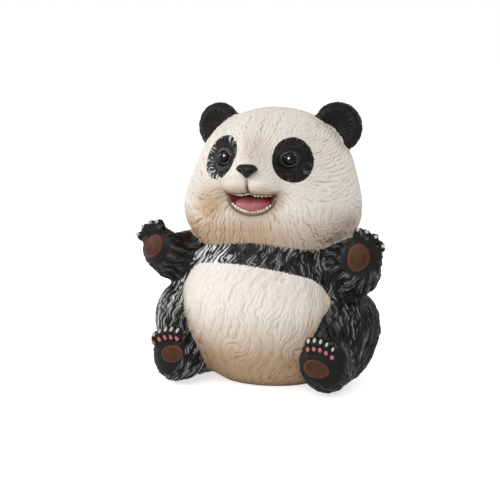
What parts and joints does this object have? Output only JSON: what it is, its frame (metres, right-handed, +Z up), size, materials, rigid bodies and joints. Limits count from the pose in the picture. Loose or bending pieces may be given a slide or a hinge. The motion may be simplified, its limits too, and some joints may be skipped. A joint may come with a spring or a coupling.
{
  "type": "panda figurine",
  "caption": "Seated panda cub ornament cast in resin, arms raised and mouth open, with carved fur; stands on its flat underside.",
  "frame": {"origin": "centre of the flat underside that the figure stands on, midway between its hips", "axes": "+Z up, from the underside to the ears; the panda faces -Y; +X is towards its own left"},
  "size_m": [0.1776, 0.1229, 0.1918],
  "materials": {
    "painted_resin": "cast resin, painted cream and black with a satin clear coat"
  },
  "bodies": {
    "root": {"panda_figure": "painted_resin"}
  },
  "joints": []
}
